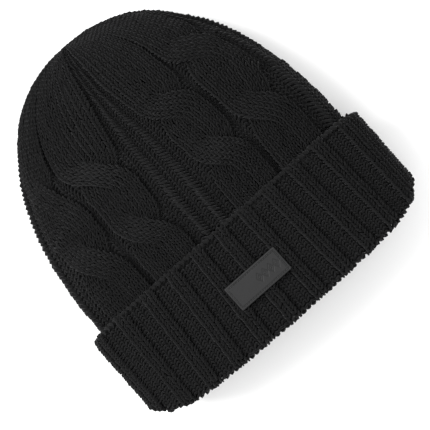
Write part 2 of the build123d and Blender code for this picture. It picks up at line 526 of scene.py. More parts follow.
def tube_ring(path: Callable[[float], tuple[float, ...]]) -> Ring:
    """Rings of a tube with elliptical sections.

    Args:
        path: gives station, half width, half thickness and middle height for a share of the way along.

    Returns:
        A function of that share and the angles, which gives the ring's points.
    """
    def ring(share: float, angle: np.ndarray) -> np.ndarray:
        """Points of one ring."""
        y, a, b, middle = path(share)
        return np.stack([a * np.sin(angle), np.full_like(angle, y), middle + b * np.cos(angle)], axis=1)
    return ring


class Cloth:
    """A surface that goes round the hat, read by wale and row.

    Its first coordinate is the share of the way round, 0 in front, growing towards +X; its second is the share of
    the way along each wale, by length.
    """

    ROUND = 360
    ALONG = 260

    def __init__(self, ring: Ring, bow: float = 0.0, corner: float = 0.0, inward: bool = False,
                 sag: float = 0.0, floor: float = 2.4 * MM) -> None:
        """Lays out the surface.

        Args:
            ring: gives the points of one ring for a share of the way along and the angles round.
            bow: how far the middle of the last row swings towards the mouth; the first row stays straight.
            corner: how far the last rows draw up at the two sides, which rounds the cuff's lower corners.
            inward: whether the rings run towards the mouth, which turns the normals round.
            sag: height of the slow unevenness of the cloth.
            floor: the lowest that the surface may come.
        """
        steps = np.linspace(0, 1, self.ALONG)
        turn = np.linspace(-0.5, 0.5, self.ROUND + 1)
        angle = np.linspace(-math.pi, math.pi, 1441)
        grid = np.zeros((self.ROUND + 1, self.ALONG, 3))
        for index, step in enumerate(steps):
            points = ring(step, angle)
            length = np.concatenate([[0], np.cumsum(np.linalg.norm(np.diff(points, axis=0), axis=1))])
            share = length / max(length[-1], 1e-9) - 0.5
            for axis in range(3):
                grid[:, index, axis] = np.interp(turn, share, points[:, axis])
        reach = np.clip(np.abs(grid[..., 0]) / np.abs(grid[..., 0]).max(), 0, 1)
        drawn = corner * (reach ** 10 * ease((steps - 0.5) / 0.45) - 0.3 * reach ** 14 * (1 - ease(steps / 0.3)))
        grid[..., 1] += drawn - bow * (1 - reach ** 2) * steps
        u, v = np.meshgrid(turn * 2 * math.pi, steps, indexing="ij")
        slow = (np.sin(2 * u + 4.1 * v + 0.4) + 0.8 * np.sin(5 * u - 6.3 * v + 1.3)
                + 0.6 * np.sin(3 * u + 9.4 * v + 2.2)) / 2.4
        grid[..., 2] += sag * slow * np.sin(np.pi * v) ** 0.5 * np.cos(u)
        grid[..., 2] = at_least(grid[..., 2], floor, 1.6 * MM)
        self.grid = self._even(grid)
        across = np.gradient(self.grid, axis=0)
        across[0] = across[-1] = self.grid[1] - self.grid[-2]
        along = np.gradient(self.grid, axis=1)
        area = np.cross(across, along)
        self.normal = unit(-area if inward else area)
        self.across = across * self.ROUND
        self.round = np.linalg.norm(np.diff(self.grid, axis=0), axis=2).sum(axis=0)

    def _even(self, grid: np.ndarray) -> np.ndarray:
        """Spaces the points of every wale evenly along its length."""
        target = np.linspace(0, 1, self.ALONG)
        made = np.empty_like(grid)
        for index in range(grid.shape[0]):
            step = np.linalg.norm(np.diff(grid[index], axis=0), axis=1)
            share = np.concatenate([[0], np.cumsum(step)])
            share /= share[-1]
            for axis in range(3):
                made[index, :, axis] = np.interp(target, share, grid[index, :, axis])
        return made

    def _read(self, table: np.ndarray, u: np.ndarray, v: np.ndarray) -> np.ndarray:
        """Bilinear reading of a table at shares round and along."""
        column = (np.mod(u + 0.5, 1.0)) * self.ROUND
        row = np.clip(v, 0, 1) * (self.ALONG - 1)
        c0 = np.clip(np.floor(column).astype(int), 0, self.ROUND - 1)
        r0 = np.clip(np.floor(row).astype(int), 0, self.ALONG - 2)
        fc, fr = (column - c0)[..., None], (row - r0)[..., None]
        top = table[c0, r0] * (1 - fc) + table[c0 + 1, r0] * fc
        low = table[c0, r0 + 1] * (1 - fc) + table[c0 + 1, r0 + 1] * fc
        return top * (1 - fr) + low * fr

    def at(self, u: np.ndarray, v: np.ndarray, height: np.ndarray | float = 0.0) -> tuple[np.ndarray, np.ndarray]:
        """Points at a height over the surface, and the normals there."""
        normal = unit(self._read(self.normal, u, v))
        return self._read(self.grid, u, v) + normal * np.asarray(height)[..., None], normal

    def row(self, u: np.ndarray, v: np.ndarray) -> np.ndarray:
        """How the place changes along a row, for one whole way round, at shares round and along."""
        return self._read(self.across, u, v)

    def girth(self, v: np.ndarray) -> np.ndarray:
        """Length of the way round at shares of the way along."""
        return np.interp(v, np.linspace(0, 1, self.ALONG), self.round)


# ---------------------------------------------------------------- stitches

class StitchKind(Enum):
    """The ways that a loop of yarn shows."""

    KNIT = "knit"
    PURL = "purl"
    TWISTED = "twisted"
    THREAD = "thread"


@dataclass(frozen=True)
class YarnLoop:
    """The mesh of one loop of yarn, in stitch units: one wide, one high and one deep.

    Attributes:
        sides: number of sides of the yarn.
        width: half width of the yarn across the wale.
        depth: half depth of the yarn.
    """

    sides: int = 6
    width: float = 0.17
    depth: float = 0.5

    def tube(self, line: Sequence[tuple[float, float, float]], swell: Sequence[float],
             start: int) -> tuple[list, list, list]:
        """A capped tube along a line in stitch units.

        Args:
            line: the points of its middle.
            swell: its thickness at each point, as a share of the full one.
            start: index of its first vertex.

        Returns:
            Vertices, faces and the yarn coordinates of every face corner.
        """
        verts, faces, corners = [], [], []
        points = [Vector(p) for p in line]
        for index, point in enumerate(points):
            ahead = points[min(index + 1, len(points) - 1)] - points[max(index - 1, 0)]
            ahead.normalize()
            side = ahead.cross(Vector((0, 0, 1)))
            side.normalize()
            lift = side.cross(ahead)
            for turn in range(self.sides):
                angle = 2 * math.pi * turn / self.sides
                verts.append(point + side * (math.cos(angle) * self.width * swell[index])
                             + lift * (math.sin(angle) * self.depth * swell[index]))
        for index in range(len(points) - 1):
            for turn in range(self.sides):
                near, far = start + index * self.sides, start + (index + 1) * self.sides
                after = (turn + 1) % self.sides
                faces.append((near + turn, far + turn, far + after, near + after))
                u0, u1 = turn / self.sides, (turn + 1) / self.sides
                v0, v1 = index / (len(points) - 1), (index + 1) / (len(points) - 1)
                corners.append(((u0, v0), (u0, v1), (u1, v1), (u1, v0)))
        last = start + (len(points) - 1) * self.sides
        faces.append(tuple(start + turn for turn in range(self.sides)))
        corners.append(tuple((turn / self.sides, 0.0) for turn in range(self.sides)))
        faces.append(tuple(last + turn for turn in reversed(range(self.sides))))
        corners.append(tuple((turn / self.sides, 1.0) for turn in reversed(range(self.sides))))
        return verts, faces, corners

    def build(self, kind: StitchKind) -> bpy.types.Object:
        """Makes the loop of one kind as an object."""
        if kind is StitchKind.KNIT:
            leg = [(0.06, -0.40, -0.75), (0.13, -0.12, -0.05), (0.25, 0.25, 0.34), (0.36, 0.62, 0.10),
                   (0.43, 0.94, -0.70)]
            lines = [leg, [(-x, y, z) for x, y, z in leg]]
            swell = (0.55, 0.92, 1.05, 0.95, 0.55)
        elif kind is StitchKind.TWISTED:
            lines = [[(0.46, -0.42, -0.75), (0.30, -0.16, 0.0), (0.02, 0.22, 0.42), (-0.26, 0.60, 0.05),
                      (-0.44, 0.90, -0.70)]]
            swell = (0.7, 1.0, 1.2, 1.05, 0.7)
        elif kind is StitchKind.THREAD:
            lines = [[(-0.5, -0.06, -0.7), (-0.34, -0.03, 0.05), (0.0, 0.0, 0.3), (0.34, 0.03, 0.05),
                      (0.5, 0.06, -0.7)]]
            swell = (0.6, 1.0, 1.08, 1.0, 0.6)
        else:
            lines = [[(-0.56, -0.38, -0.45), (-0.36, -0.24, -0.05), (-0.16, 0.22, 0.28), (0.0, 0.38, 0.36),
                      (0.16, 0.22, 0.28), (0.36, -0.24, -0.05), (0.56, -0.38, -0.45)]]
            swell = (0.7, 0.95, 1.02, 1.05, 1.02, 0.95, 0.7)
        verts: list = []
        faces: list = []
        corners: list = []
        for line in lines:
            more = self.tube(line, swell, len(verts))
            verts += more[0]
            faces += more[1]
            corners += more[2]
        obj = mesh_object(f"loop_{kind.value}", verts, faces)
        layer = obj.data.uv_layers.new(name="yarn_uv")
        flat = [corner for face in corners for corner in face]
        layer.data.foreach_set("uv", np.array(flat, dtype=float).ravel())
        turn_outward(obj)
        return obj


def turn_outward(obj: bpy.types.Object) -> None:
    """Turns the faces of a closed mesh outward without touching its points."""
    work = bmesh.new()
    work.from_mesh(obj.data)
    bmesh.ops.recalc_face_normals(work, faces=work.faces)
    work.to_mesh(obj.data)
    work.free()


@dataclass
class StitchField:
    """Stitches of one kind that make one piece: where each sits, how it faces and how large it is."""

    kind: StitchKind
    places: list = field(default_factory=list)
    sides: list = field(default_factory=list)
    outs: list = field(default_factory=list)
    sizes: list = field(default_factory=list)

    def add(self, place: np.ndarray, side: np.ndarray, out: np.ndarray, size: np.ndarray) -> None:
        """Adds a run of stitches."""
        self.places.append(place.reshape(-1, 3))
        self.sides.append(side.reshape(-1, 3))
        self.outs.append(out.reshape(-1, 3))
        self.sizes.append(size.reshape(-1, 3))


class StitchGraph:
    """The Geometry Nodes tree that puts one loop of yarn on every point."""

    def __init__(self) -> None:
        """Builds the tree once, with named inputs."""
        tree = bpy.data.node_groups.new("lay_stitches", "GeometryNodeTree")
        face = tree.interface
        face.new_socket("Geometry", in_out="INPUT", socket_type="NodeSocketGeometry")
        face.new_socket("Loop", in_out="INPUT", socket_type="NodeSocketObject")
        face.new_socket("Yarn", in_out="INPUT", socket_type="NodeSocketMaterial")
        face.new_socket("Size Spread", in_out="INPUT", socket_type="NodeSocketFloat")
        face.new_socket("Seed", in_out="INPUT", socket_type="NodeSocketInt")
        face.new_socket("Geometry", in_out="OUTPUT", socket_type="NodeSocketGeometry")
        self.tree = tree
        source, sink = self._node("NodeGroupInput"), self._node("NodeGroupOutput")
        loop = self._node("GeometryNodeObjectInfo", transform_space="ORIGINAL")
        loop.inputs["As Instance"].default_value = True
        self._join(source, "Loop", loop, "Object")
        turned = self._node("FunctionNodeAxesToRotation", primary_axis="Z", secondary_axis="X")
        self._join(self._read("out"), 0, turned, 0)
        self._join(self._read("side"), 0, turned, 1)
        spread = self._node("FunctionNodeRandomValue", data_type="FLOAT")
        low = self._node("ShaderNodeMath", operation="SUBTRACT")
        low.inputs[0].default_value = 1.0
        high = self._node("ShaderNodeMath", operation="ADD")
        high.inputs[0].default_value = 1.0
        self._join(source, "Size Spread", low, 1)
        self._join(source, "Size Spread", high, 1)
        self._join(low, 0, spread, 2)
        self._join(high, 0, spread, 3)
        self._join(source, "Seed", spread, "Seed")
        scaled = self._node("ShaderNodeVectorMath", operation="SCALE")
        self._join(self._read("size"), 0, scaled, 0)
        self._join(spread, 1, scaled, "Scale")
        laid = self._node("GeometryNodeInstanceOnPoints")
        self._join(source, "Geometry", laid, "Points")
        self._join(loop, "Geometry", laid, "Instance")
        self._join(turned, 0, laid, "Rotation")
        self._join(scaled, 0, laid, "Scale")
        tone = self._node("FunctionNodeRandomValue", data_type="FLOAT")
        self._join(source, "Seed", tone, "Seed")
        kept = self._node("GeometryNodeStoreNamedAttribute", data_type="FLOAT", domain="INSTANCE")
        kept.inputs["Name"].default_value = "tone"
        self._join(laid, 0, kept, "Geometry")
        self._join(tone, 1, kept, "Value")
        real = self._node("GeometryNodeRealizeInstances")
        self._join(kept, 0, real, 0)
        dressed = self._node("GeometryNodeSetMaterial")
        self._join(real, 0, dressed, "Geometry")
        self._join(source, "Yarn", dressed, "Material")
        self._join(dressed, 0, sink, 0)

    def _node(self, kind: str, **settings: Any) -> bpy.types.Node:
        """Adds a node with its settings."""
        made = self.tree.nodes.new(kind)
        for key, value in settings.items():
            setattr(made, key, value)
        return made

    def _read(self, name: str) -> bpy.types.Node:
        """Reads a vector attribute of the points."""
        made = self._node("GeometryNodeInputNamedAttribute", data_type="FLOAT_VECTOR")
        made.inputs["Name"].default_value = name
        return made

    def _join(self, start: bpy.types.Node, output: int | str, end: bpy.types.Node, entry: int | str) -> None:
        """Links two nodes."""
        self.tree.links.new(start.outputs[output], end.inputs[entry])

    def socket(self, name: str) -> str:
        """Identifier of a named input."""
        for item in self.tree.interface.items_tree:
            if item.name == name and item.in_out == "INPUT":
                return item.identifier
        raise KeyError(name)

    def lay(self, name: str, field_of: StitchField, loop: bpy.types.Object, yarn: bpy.types.Material,
            spread: float, seed: int) -> bpy.types.Object:
        """Turns a field of stitches into one plain mesh piece.

        Args:
            name: the piece's name.
            field_of: the stitches.
            loop: the loop of yarn to repeat.
            yarn: its material.
            spread: random change of size.
            seed: seed of the random values.

        Returns:
            The piece, with no modifier left on it.
        """
        places = np.concatenate(field_of.places)
        cloud = mesh_object(name + "_points", places, [])
        for key, runs in (("side", field_of.sides), ("out", field_of.outs), ("size", field_of.sizes)):
            data = cloud.data.attributes.new(key, "FLOAT_VECTOR", "POINT")
            data.data.foreach_set("vector", np.concatenate(runs).ravel())
        modifier = cloud.modifiers.new("stitches", "NODES")
        modifier.node_group = self.tree
        modifier[self.socket("Loop")] = loop
        modifier[self.socket("Yarn")] = yarn
        modifier[self.socket("Size Spread")] = spread
        modifier[self.socket("Seed")] = seed
        graph = bpy.context.evaluated_depsgraph_get()
        mesh = bpy.data.meshes.new_from_object(cloud.evaluated_get(graph), depsgraph=graph)
        mesh.name = name
        piece = bpy.data.objects.new(name, mesh)
        bpy.context.scene.collection.objects.link(piece)
        bpy.data.objects.remove(cloud)
        if not mesh.materials:
            mesh.materials.append(yarn)
        mesh.polygons.foreach_set("use_smooth", [True] * len(mesh.polygons))
        return piece


# ---------------------------------------------------------------- knitted pieces

LOOP_SHAPES = {StitchKind.KNIT: YarnLoop(), StitchKind.PURL: YarnLoop(width=0.22, depth=0.5),
               StitchKind.TWISTED: YarnLoop(width=0.2, depth=0.6), StitchKind.THREAD: YarnLoop(width=0.5, depth=0.5)}


@dataclass
class Workshop:
    """What every part needs: the form, the loops, the tree that lays them and the finishes."""

    form: HatForm
    loops: dict[StitchKind, bpy.types.Object]
    graph: StitchGraph
    finishes: Finishes
    spread: float = 0.06
    yarn_depth: float = 2.5 * MM
    wobble: float = 0.16 * MM
    lowest: float = 2.7 * MM

    def stitch_frames(self, cloth: Cloth, u: np.ndarray, v: np.ndarray, height: np.ndarray, share: np.ndarray,
                      downward: bool, rng: np.random.Generator, facing: float = 1.0) -> tuple[np.ndarray, ...]:
        """Places, directions and sizes of the stitches of some wales.

        Args:
            cloth: the surface that they lie on.
            u: shares round the hat, one row of the array for each wale.
            v: shares along, the same shape.
            height: heights over the surface.
            share: widths of the wales, as shares of the way round.
            downward: whether the cloth was knitted against the direction of its rows.
            rng: source of the small unevenness.
            facing: 1 for stitches that face out of the hat, -1 for those that face into it.

        Returns:
            Places, sides, outs and sizes.
        """
        place, normal = cloth.at(u, v, height)
        normal = normal * facing
        place = place + rng.normal(0.0, self.wobble, place.shape)
        along = np.gradient(place, axis=1)
        step = np.linalg.norm(along, axis=-1)
        up = unit(along)
        width = np.linalg.norm(np.cross(cloth.row(u, v), up), axis=-1) * share
        if downward:
            up = -up
        out = unit(normal - up * (normal * up).sum(axis=-1, keepdims=True))
        side = np.cross(up, out)
        place[..., 2] = at_least(place[..., 2], self.lowest, 0.8 * MM)
        depth = self.yarn_depth * np.clip(width / (4.2 * MM), 0.35, 1.0) ** 0.5
        size = np.stack([width, step, depth], axis=-1)
        return place, side, out, size

    def lay(self, name: str, made: StitchField, body: str, node: str, seed: int,
            slot: str = "knit_yarn") -> bpy.types.Object:
        """Lays one piece of stitches, rides it on its body and hides its node's part."""
        finish = self.finishes.thread if made.kind is StitchKind.THREAD else self.finishes.yarn
        piece = self.graph.lay(name, made, self.loops[made.kind], finish, self.spread, seed)
        return self.settle(piece, body, node, slot)

    def settle(self, piece: bpy.types.Object, body: str, node: str, slot: str,
               finish: bpy.types.Material | None = None) -> bpy.types.Object:
        """Rides a piece on its body, and hides the part of the node that it stands for.

        Args:
            piece: the finished piece.
            body: the body that it rides on.
            node: the node that it stands for.
            slot: not used.
            finish: its material, where it has none yet.

        Returns:
            The piece.
        """
        if finish is not None:
            piece.data.materials.append(finish)
        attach(piece, body)
        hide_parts(node)
        LOG.info("%s: %d faces on %s", piece.name, len(piece.data.polygons), body)
        return piece

    def shell(self, name: str, cloth: Cloth, outer: Callable[[np.ndarray, np.ndarray], np.ndarray],
              wall: Callable[[np.ndarray], np.ndarray], closed_tip: bool, around: int = 200,
              along: int = 90) -> bpy.types.Object:
        """A closed layer that follows a cloth all the way round.

        Args:
            name: the piece's name.
            cloth: the surface that it follows.
            outer: height of its outer face over the surface, for shares round and along.
            wall: its thickness for shares along.
            closed_tip: whether the far end closes to a point.
            around: number of faces round.
            along: number of faces along.

        Returns:
            The shell.
        """
        u = np.linspace(-0.5, 0.5, around, endpoint=False)
        v = np.linspace(0, 0.992 if closed_tip else 1.0, along + 1)
        grid_u, grid_v = np.meshgrid(u, v, indexing="ij")
        high = outer(grid_u, grid_v)
        outside, _ = cloth.at(grid_u, grid_v, high)
        inside, _ = cloth.at(grid_u, grid_v, high - wall(grid_v))
        count = along + 1
        verts = list(outside.reshape(-1, 3)) + list(inside.reshape(-1, 3))
        half = around * count
        faces = []
        for i in range(around):
            j = (i + 1) % around
            for k in range(along):
                a, b = i * count + k, j * count + k
                faces.append((a, b, b + 1, a + 1))
                faces.append((half + a, half + a + 1, half + b + 1, half + b))
            faces.append((i * count, half + i * count, half + j * count, j * count))
            if not closed_tip:
                a, b = i * count + along, j * count + along
                faces.append((a, b, half + b, half + a))
        if closed_tip:
            faces.append(tuple(i * count + along for i in range(around)))
            faces.append(tuple(half + i * count + along for i in reversed(range(around))))
        obj = mesh_object(name, verts, faces)
        turn_outward(obj)
        return obj


def solid_patch(name: str, top: np.ndarray, bottom: np.ndarray) -> bpy.types.Object:
    """A closed solid between two grids of points of the same size.

    Args:
        name: the piece's name.
        top: its upper points, as rows by columns by 3.
        bottom: its lower points.

    Returns:
        The piece, with the UV map "tape_uv" running over each grid.
    """
    rows, columns = top.shape[:2]
    half = rows * columns
    faces, corners = [], []
    for i in range(rows - 1):
        for k in range(columns - 1):
            a, b = i * columns + k, (i + 1) * columns + k
            around = ((k, i), (k, i + 1), (k + 1, i + 1), (k + 1, i))
            spots = tuple((x / (columns - 1), y / (rows - 1)) for x, y in around)
            faces += [(a, b, b + 1, a + 1), (half + a, half + a + 1, half + b + 1, half + b)]
            corners += [spots, (spots[0], spots[3], spots[2], spots[1])]
    rim = [(i, 0) for i in range(rows)] + [(rows - 1, k) for k in range(1, columns)]
    rim += [(i, columns - 1) for i in range(rows - 2, -1, -1)] + [(0, k) for k in range(columns - 2, 0, -1)]
    for (i, k), (m, n) in zip(rim, rim[1:] + rim[:1]):
        a, b = i * columns + k, m * columns + n
        faces.append((a, b, half + b, half + a))
        near, far = (k / (columns - 1), i / (rows - 1)), (n / (columns - 1), m / (rows - 1))
        corners.append((near, far, far, near))
    obj = mesh_object(name, list(top.reshape(-1, 3)) + list(bottom.reshape(-1, 3)), faces)
    layer = obj.data.uv_layers.new(name="tape_uv")
    layer.data.foreach_set("uv", np.array([c for face in corners for c in face], dtype=float).ravel())
    turn_outward(obj)
    return obj


class Column(Enum):
    """What a wale of the crown belongs to."""

    PURL = "purl"
    ROPE = "rope"
    CABLE = "cable"
    GUTTER = "gutter"


@dataclass
class CableCrown:
    """The crown: four repeats of cable, gutter, cable and rib panel, gathered at the top.

    Attributes:
        repeats: how often the pattern goes round.
        rows: rows from under the cuff to the tip.
        start_share: where the crown's cloth begins, as a share of its height above the cuff.
        crossings: rows where the cables cross, as shares of the way along.
        crossing_length: length of one crossing, the same way.
    """

    shop: Workshop
    repeats: int = 4
    rows: int = 70
    start_share: float = -0.04
    end_row_share: float = 0.985
    turn: float = -4.0 * MM
    inset: float = 2.4 * MM
    cable_half: int = 5
    cable_weight: float = 0.8
    gutter_weight: float = 0.56
    panel_weight: float = 0.93
    rope_weight: float = 1.25
    pleat: float = 0.78
    crossings: tuple[float, ...] = (-0.045, 0.22, 0.50)
    crossing_length: float = 0.165
    slant_spread: float = 0.34
    pinch: float = 0.1
    front_lift: float = 2.3 * MM
    back_dip: float = 1.3 * MM
    cable_height: float = 2.5 * MM
    cable_crown: float = 1.1 * MM
    rope_height: float = 1.5 * MM
    purl_height: float = -0.3 * MM
    gutter_height: float = -0.5 * MM
    filler_height: float = 0.0 * MM
    lean: float = 0.034
    lean_at: float = 0.14
    seed: int = 11

    def __post_init__(self) -> None:
        """Lays out the cloth and the columns."""
        form = self.shop.form

        def ring(share: float, angle: np.ndarray) -> np.ndarray:
            """The crown's rings from under the cuff to the tip."""
            bent = 1 - (1 - share) ** 1.7
            return form.crown_ring(self.start_share + (1 - self.start_share) * bent, self.inset, angle)

        self.cloth = Cloth(ring, sag=0.9 * MM)
        panel = [Column.PURL, Column.ROPE, Column.PURL, Column.PURL]
        cable = [Column.CABLE] * (2 * self.cable_half)
        self.starts = (len(panel), len(panel) + 2 + 2 * self.cable_half)
        self.columns = (panel + cable + [Column.GUTTER] * 2 + cable + panel[::-1]) * self.repeats

    def middles(self, cable: int) -> list[float]:
        """Where one cable crosses, as shares of the way along; its last crossing has a shift of its own."""
        places = [middle + CABLE_SHIFTS[cable] for middle in self.crossings]
        places[-1] += UPPER_SHIFTS[cable]
        return places

    def crossed(self, v: np.ndarray, middles: Sequence[float]) -> np.ndarray:
        """How near each share along is to one of the crossings, from 0 to 1."""
        return sum(np.exp(-((v - middle) / (0.4 * self.crossing_length)) ** 2) for middle in middles)

    def boundaries(self, v: np.ndarray) -> np.ndarray:
        """Shares round of every wale's edges, for each row."""
        pleated = 1 - self.pleat * ease((v - 0.3) / 0.5)
        crossed = self.crossed(v, self.crossings)
        rows = []
        for column in self.columns:
            if column is Column.CABLE:
                rows.append(self.cable_weight * (1 - self.pinch * crossed))
            elif column is Column.GUTTER:
                rows.append(self.gutter_weight * pleated)
            else:
                plain = self.rope_weight if column is Column.ROPE else self.panel_weight
                rows.append(plain * pleated)
        weight = np.array(rows).T
        edges = np.concatenate([np.zeros((len(v), 1)), np.cumsum(weight, axis=1)], axis=1)
        return edges / edges[:, -1:]

    def cable_path(self, slot: int, v: np.ndarray, cable: int) -> tuple[np.ndarray, ...]:
        """How one wale of a cable wanders.

        Args:
            slot: its place in the cable at the start, from the left.
            v: shares along.
            cable: which cable it belongs to.

        Returns:
            Its place in wales from the cable's left edge, its height over the base and how far it is spread.
        """
        starts_left = slot < self.cable_half
        inner = slot % self.cable_half
        side = np.full_like(v, 0.0 if starts_left else 1.0)
        lift = np.zeros_like(v)
        spread = np.ones_like(v)
        on_left = starts_left
        for middle in self.middles(cable):
            done = ease((v - middle) / self.crossing_length + 0.5)
            rise = 4 * done * (1 - done)
            side = side + done * (1 if on_left else -1)
            spread = spread + self.slant_spread * rise
            lift = lift + rise * (-self.back_dip if on_left else self.front_lift)
            on_left = not on_left
        place = (side + 0.5) * self.cable_half + (inner + 0.5 - self.cable_half / 2) * spread
        across = (inner + 0.5) / self.cable_half * 2 - 1
        return place, lift + self.cable_crown * (1 - across * across), spread

    def lay(self) -> list[bpy.types.Object]:
        """Makes every piece of the crown."""
        v = np.linspace(0, self.end_row_share, self.rows)
        edges = self.boundaries(v)
        girth = self.cloth.girth(v)
        rng = np.random.default_rng(self.seed)
        fields: dict[str, StitchField] = {}
        shrink = np.clip(girth / girth[0], 0.25, 1) ** 0.6
        per_repeat = len(self.columns) // self.repeats
        for index, column in enumerate(self.columns):
            repeat, inside = divmod(index, per_repeat)
            place, lift, spread = np.full_like(v, index + 0.5), np.zeros_like(v), np.ones_like(v)
            if column is Column.CABLE:
                first = self.starts[inside >= self.starts[1] - 2]
                cable = repeat * 2 + (first > self.starts[0])
                wander, lift, spread = self.cable_path(inside - first, v, cable)
                place = repeat * per_repeat + first + wander
                base, kind = self.cable_height, StitchKind.KNIT
                name = f"crown_cable_{cable + 1}"
            elif column is Column.GUTTER:
                base, kind, name = self.gutter_height, StitchKind.PURL, f"crown_gutter_{repeat + 1}"
            elif column is Column.ROPE:
                base, kind, name = self.rope_height, StitchKind.TWISTED, f"crown_ropes_{repeat + 1}"
            else:
                base, kind, name = self.purl_height, StitchKind.PURL, f"crown_purl_{repeat + 1}"
            self.wale(fields.setdefault(name, StitchField(kind)), edges, v, place, spread, (base + lift) * shrink, rng)
        for repeat in range(self.repeats):
            for order, first in enumerate(self.starts):
                shown = self.crossed(v, self.middles(repeat * 2 + order)) > 0.2
                for near in (0.45, 1.8, 2 * self.cable_half - 1.8, 2 * self.cable_half - 0.45):
                    place = np.full_like(v, repeat * per_repeat + first + near)
                    self.wale(fields[f"crown_gutter_{repeat + 1}"], edges, v, place, np.full_like(v, 1.4),
                              np.full_like(v, self.filler_height), rng, shown)
        return [self.shop.lay(name, made, "hat", "knit_body", self.seed + order)
                for order, (name, made) in enumerate(fields.items())]

    def leaned(self, u: np.ndarray, v: np.ndarray) -> np.ndarray:
        """Shares round, moved over where the lying crown is turned a little towards its left."""
        around = np.mod(u + 0.5, 1.0) - 0.5
        return u - self.lean * ease((v - 0.3) / 0.35) * np.exp(-((around - self.lean_at) / 0.09) ** 2)

    def wale(self, made: StitchField, edges: np.ndarray, v: np.ndarray, place: np.ndarray, spread: np.ndarray,
             height: np.ndarray, rng: np.random.Generator, shown: np.ndarray | None = None) -> None:
        """Adds one wale to a field of stitches.

        Args:
            made: the field.
            edges: shares round of the wales' edges, for each row.
            v: shares along of the rows.
            place: where the wale's middle is among the wales, for each row.
            spread: how much wider than one wale it is.
            height: its height over the cloth.
            rng: source of the small unevenness.
            shown: rows that are kept; all of them when this is None.
        """
        slots = np.arange(edges.shape[1])
        turn = self.turn / self.cloth.girth(np.array([0.1]))[0]

        def found(step: float) -> np.ndarray:
            """Shares round at a step, in wales, from the wale's middle."""
            return np.array([np.interp(place[k] + step, slots, edges[k]) for k in range(len(v))])

        u, low, high = (self.leaned(found(step) + turn, v) for step in (0.0, -0.5, 0.5))
        frames = self.shop.stitch_frames(self.cloth, u[None], v[None], height[None], ((high - low) * spread)[None],
                                         False, rng)
        if shown is not None:
            frames = tuple(part[:, shown] for part in frames)
        made.add(*frames)

    def backing(self) -> bpy.types.Object:
        """The dark knit under the stitches, closed at the tip."""
        def height(u: np.ndarray, v: np.ndarray) -> np.ndarray:
            """A low even backing."""
            return np.full_like(u, -0.3 * MM)

        def wall(v: np.ndarray) -> np.ndarray:
            """A wall that thins into the gathered tip."""
            return 1.2 * MM * (1 - 0.6 * ease((v - 0.85) / 0.15))

        shell = self.shop.shell("crown_backing", self.cloth, height, wall, True)
        return self.shop.settle(shell, "hat", "knit_body", "knit_yarn", self.shop.finishes.backing)


# Small differences between the eight cables, as shares of the way along: of all a cable's crossings, and of its last.
CABLE_SHIFTS = (0.014, 0.012, -0.004, 0.006, 0.0, -0.006, -0.012, -0.022)
UPPER_SHIFTS = (-0.036, 0.018, 0.0, 0.008, -0.006, 0.01, -0.004, -0.034)


@dataclass
class RibTube:
    """A tube of knit 2, purl 3 rib, such as the cuff or the layer under it.

    Attributes:
        name: start of its pieces' names.
        node: the node that it stands for.
        body: the body that it rides on.
        path: sections from its first row to its last.
    """

    shop: Workshop
    name: str
    node: str
    body: str
    path: Callable[[float], tuple[float, ...]]
    rows: int
    downward: bool
    bow: float = 0.0
    corner: float = 0.0
    knits: int = 2
    purls: int = 3
    periods: int = 22
    fan: float = 0.0
    purl_weight: float = 0.85
    turn: float = -4.5 * MM
    knit_height: float = 2.2 * MM
    purl_height: float = -0.2 * MM
    end_height: float = 0.9 * MM
    top_dip: float = 0.0
    seed: int = 101

    def __post_init__(self) -> None:
        """Lays out the cloth."""
        self.cloth = Cloth(tube_ring(self.path), bow=self.bow, corner=self.corner, inward=self.downward,
                           sag=0.5 * MM)

    def lay(self) -> list[bpy.types.Object]:
        """Makes the tube's knit ribs and purl ribs, front and back apart."""
        weights = ([1.0] * self.knits + [self.purl_weight] * self.purls) * self.periods
        edges = np.concatenate([[0], np.cumsum(weights)])
        edges /= edges[-1]
        v = np.linspace(0.002, 0.998, self.rows)
        girth = self.cloth.girth(v)
        middle = edges[self.knits] / 2
        turn = self.turn / girth[0] - middle
        rng = np.random.default_rng(self.seed)
        fields: dict[str, StitchField] = {}
        period = self.knits + self.purls
        for index in range(len(weights)):
            knit = index % period < self.knits
            u = (edges[index] + edges[index + 1]) / 2 + turn
            side = "front" if abs((u + 0.5) % 1.0 - 0.5) < 0.25 else "back"
            kind = StitchKind.KNIT if knit else StitchKind.PURL
            name = f"{self.name}_{kind.value}_ribs_{side}"
            share = np.full_like(v, edges[index + 1] - edges[index])
            base = self.knit_height if knit else self.purl_height
            height = base + (self.end_height - base) * ease((v - 0.86) / 0.08) - self.top_dip * (1 - ease(v / 0.06))
            spread = u + self.fan * (v - 0.5) * math.sin(4 * math.pi * u) / (4 * math.pi)
            made = self.shop.stitch_frames(self.cloth, spread[None], v[None], height[None], share[None],
                                           self.downward, rng)
            fields.setdefault(name, StitchField(kind)).add(*made)
        return [self.shop.lay(name, made, self.body, self.node, self.seed + order)
                for order, (name, made) in enumerate(fields.items())]

    def backing(self, wall: float) -> bpy.types.Object:
        """The dark knit under the stitches."""
        def height(u: np.ndarray, v: np.ndarray) -> np.ndarray:
            """A low even backing."""
            return np.full_like(u, -0.3 * MM)

        def even(v: np.ndarray) -> np.ndarray:
            """An even wall."""
            return np.full_like(v, wall)

        shell = self.shop.shell(f"{self.name}_backing", self.cloth, height, even, False, 200, 60)
        return self.shop.settle(shell, self.body, self.node, "knit_yarn", self.shop.finishes.backing)


